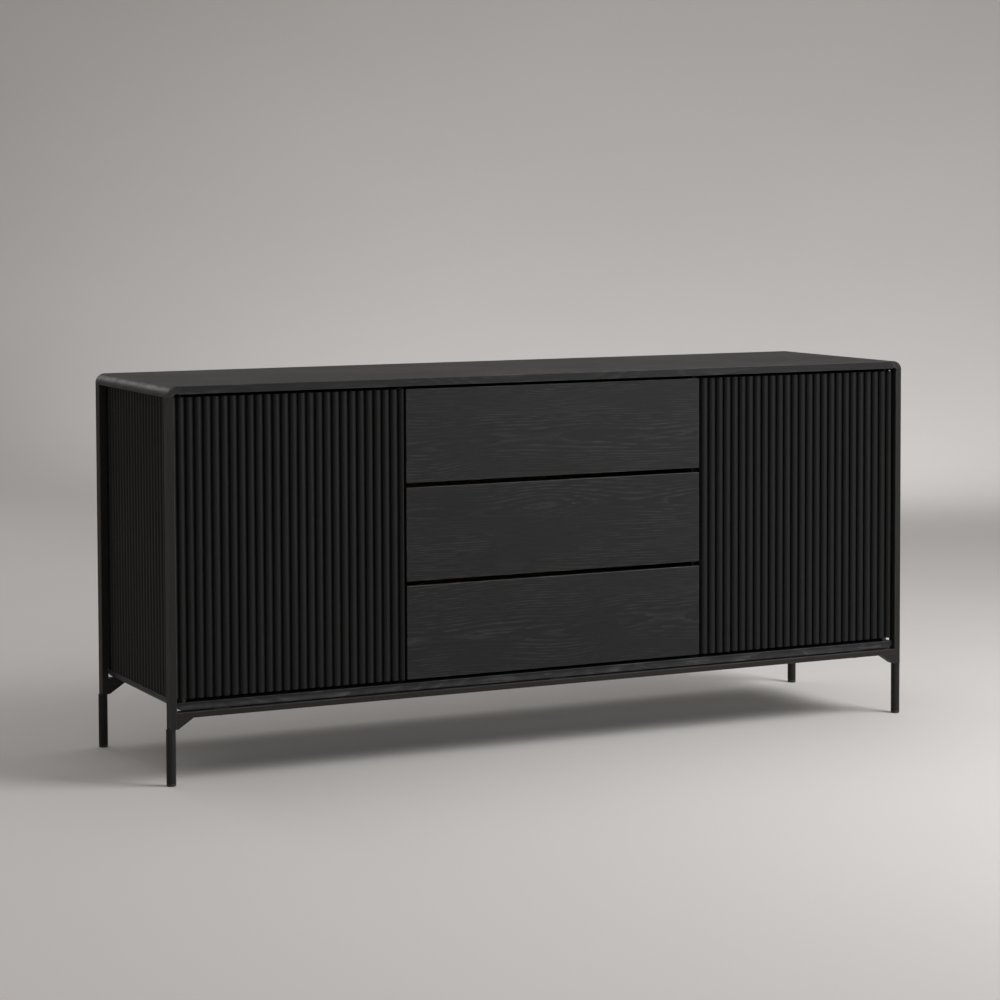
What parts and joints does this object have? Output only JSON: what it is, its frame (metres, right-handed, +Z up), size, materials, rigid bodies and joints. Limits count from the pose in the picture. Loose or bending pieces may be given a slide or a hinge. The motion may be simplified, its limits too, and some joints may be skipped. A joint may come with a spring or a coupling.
{
  "type": "sideboard",
  "caption": "Long sideboard on slim round legs, with reeded cupboard doors either side of a stack of handle-free drawers in a slender frame.",
  "frame": {"origin": "floor level, at the middle of the footprint", "axes": "+X along the width to the viewer's right from the front, +Y from the fronts to the back, +Z up"},
  "size_m": [1.8, 0.48, 0.825],
  "materials": {
    "black_oak": "black-stained oak veneer, satin lacquer",
    "black_oak_reeding": "black-stained half-round battens, satin lacquer",
    "black_steel": "fine-texture black powder coat",
    "black_nylon": "moulded black nylon",
    "rubber_pad": "die-cut rubber",
    "birch_box": "clear-lacquered birch plywood",
    "zinc_steel": "bright zinc plate"
  },
  "bodies": {
    "case": {"top_panel": "black_oak", "top_end_left": "black_oak", "top_end_right": "black_oak", "post_front_left": "black_steel", "post_front_right": "black_steel", "post_rear_left": "black_steel", "post_rear_right": "black_steel", "post_studs": "zinc_steel", "front_rail": "black_steel", "rear_rail": "black_steel", "corner_gussets": "black_steel", "leg_front_left": "black_steel", "leg_front_right": "black_steel", "leg_rear_left": "black_steel", "leg_rear_right": "black_steel", "leg_glides": "black_nylon", "spacer_pads": "rubber_pad", "case_bolts": "zinc_steel", "bottom_panel": "black_oak", "side_panel_left": "black_oak", "side_panel_right": "black_oak", "side_reeding_left": "black_oak_reeding", "side_reeding_right": "black_oak_reeding", "divider_left": "black_oak", "divider_right": "black_oak", "back_panel": "black_oak", "shelf_left": "black_oak", "shelf_right": "black_oak", "shelf_pins": "zinc_steel", "pivot_bushes": "black_nylon", "latch_housings": "black_nylon", "cabinet_rails": "zinc_steel"},
    "door_left": {"door_panel_left": "black_oak", "door_reeding_left": "black_oak_reeding", "door_pivots_left": "zinc_steel", "strike_plate_left": "zinc_steel"},
    "latch_left": {"latch_plunger_left": "zinc_steel"},
    "door_right": {"door_panel_right": "black_oak", "door_reeding_right": "black_oak_reeding", "door_pivots_right": "zinc_steel", "strike_plate_right": "zinc_steel"},
    "latch_right": {"latch_plunger_right": "zinc_steel"},
    "drawer_bottom": {"drawer_front_bottom": "black_oak", "drawer_sides_bottom": "birch_box", "drawer_ends_bottom": "birch_box", "drawer_base_bottom": "birch_box", "drawer_rails_bottom": "zinc_steel"},
    "runner_bottom": {"mid_rails_bottom": "zinc_steel"},
    "drawer_middle": {"drawer_front_middle": "black_oak", "drawer_sides_middle": "birch_box", "drawer_ends_middle": "birch_box", "drawer_base_middle": "birch_box", "drawer_rails_middle": "zinc_steel"},
    "runner_middle": {"mid_rails_middle": "zinc_steel"},
    "drawer_top": {"drawer_front_top": "black_oak", "drawer_sides_top": "birch_box", "drawer_ends_top": "birch_box", "drawer_base_top": "birch_box", "drawer_rails_top": "zinc_steel"},
    "runner_top": {"mid_rails_top": "zinc_steel"}
  },
  "joints": [
    {"name": "door_left_swing", "type": "hinge", "parent": "case", "child": "door_left", "pos_m": [-0.861, -0.219, 0.49], "axis": [0, 0, -1], "range_deg": [0, 90]},
    {"name": "door_right_swing", "type": "hinge", "parent": "case", "child": "door_right", "pos_m": [0.861, -0.219, 0.49], "axis": [0, 0, 1], "range_deg": [0, 90]},
    {"name": "latch_left_press", "type": "slide", "parent": "case", "child": "latch_left", "axis": [0, 1, 0], "range_m": [0, 0.003], "stiffness_N_per_m": 300},
    {"name": "latch_right_press", "type": "slide", "parent": "case", "child": "latch_right", "axis": [0, 1, 0], "range_m": [0, 0.003], "stiffness_N_per_m": 300},
    {"name": "drawer_bottom_slide", "type": "slide", "parent": "case", "child": "drawer_bottom", "axis": [0, -1, 0], "range_m": [0, 0.35]},
    {"name": "runner_bottom_slide", "type": "slide", "parent": "case", "child": "runner_bottom", "axis": [0, -1, 0], "range_m": [0, 0.175]},
    {"name": "drawer_middle_slide", "type": "slide", "parent": "case", "child": "drawer_middle", "axis": [0, -1, 0], "range_m": [0, 0.35]},
    {"name": "runner_middle_slide", "type": "slide", "parent": "case", "child": "runner_middle", "axis": [0, -1, 0], "range_m": [0, 0.175]},
    {"name": "drawer_top_slide", "type": "slide", "parent": "case", "child": "drawer_top", "axis": [0, -1, 0], "range_m": [0, 0.35]},
    {"name": "runner_top_slide", "type": "slide", "parent": "case", "child": "runner_top", "axis": [0, -1, 0], "range_m": [0, 0.175]}
  ],
  "couplings": [
    {"joint": "runner_bottom_slide", "follows": "drawer_bottom_slide", "ratio": 0.5},
    {"joint": "runner_middle_slide", "follows": "drawer_middle_slide", "ratio": 0.5},
    {"joint": "runner_top_slide", "follows": "drawer_top_slide", "ratio": 0.5}
  ]
}
